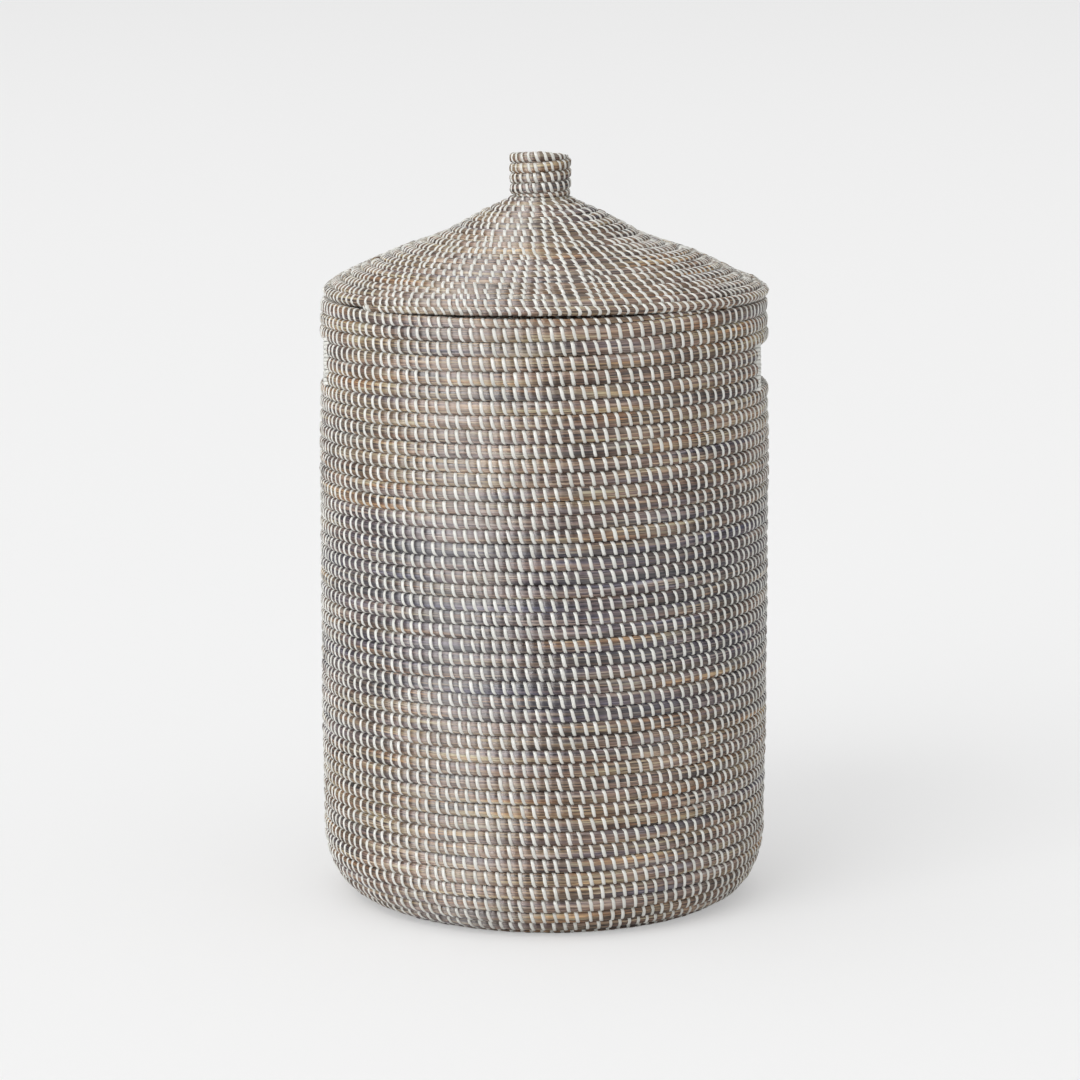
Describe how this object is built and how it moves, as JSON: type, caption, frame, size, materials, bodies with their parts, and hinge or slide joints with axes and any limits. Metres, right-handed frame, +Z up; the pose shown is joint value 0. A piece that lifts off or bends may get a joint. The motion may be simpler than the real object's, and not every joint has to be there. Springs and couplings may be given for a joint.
{
  "type": "lidded seagrass hamper",
  "caption": "Tall round hamper of coiled, cord-stitched seagrass rope with bound hand-holes at the sides and a lift-off conical lid with a knob.",
  "frame": {"origin": "on the floor, under the middle of the base", "axes": "+Z up along the hamper's axis, the front towards -Y, the hand-holes on +X and -X"},
  "size_m": [0.445, 0.445, 0.7437],
  "materials": {
    "seagrass_basket": "dry streaky seagrass stalks, matte",
    "seagrass_lid": "dry streaky seagrass stalks, matte",
    "white_cord": "smooth white plastic cord, closely wound"
  },
  "bodies": {
    "basket": {"base_coil": "seagrass_basket", "wall_coil": "seagrass_basket", "rear_course_1": "seagrass_basket", "front_course_1": "seagrass_basket", "rear_course_2": "seagrass_basket", "front_course_2": "seagrass_basket", "rear_course_3": "seagrass_basket", "rim_coil": "seagrass_basket", "right_rear_binding": "white_cord", "right_front_binding": "white_cord", "left_front_binding": "white_cord", "left_rear_binding": "white_cord"},
    "lid": {"lid_coil": "seagrass_lid", "knob_coil": "seagrass_lid", "knob_cap": "seagrass_lid", "lid_ring": "seagrass_lid"}
  },
  "joints": [
    {"name": "lid_lift", "type": "slide", "parent": "basket", "child": "lid", "axis": [0, 0, 1], "range_m": [0, 0.4]}
  ]
}
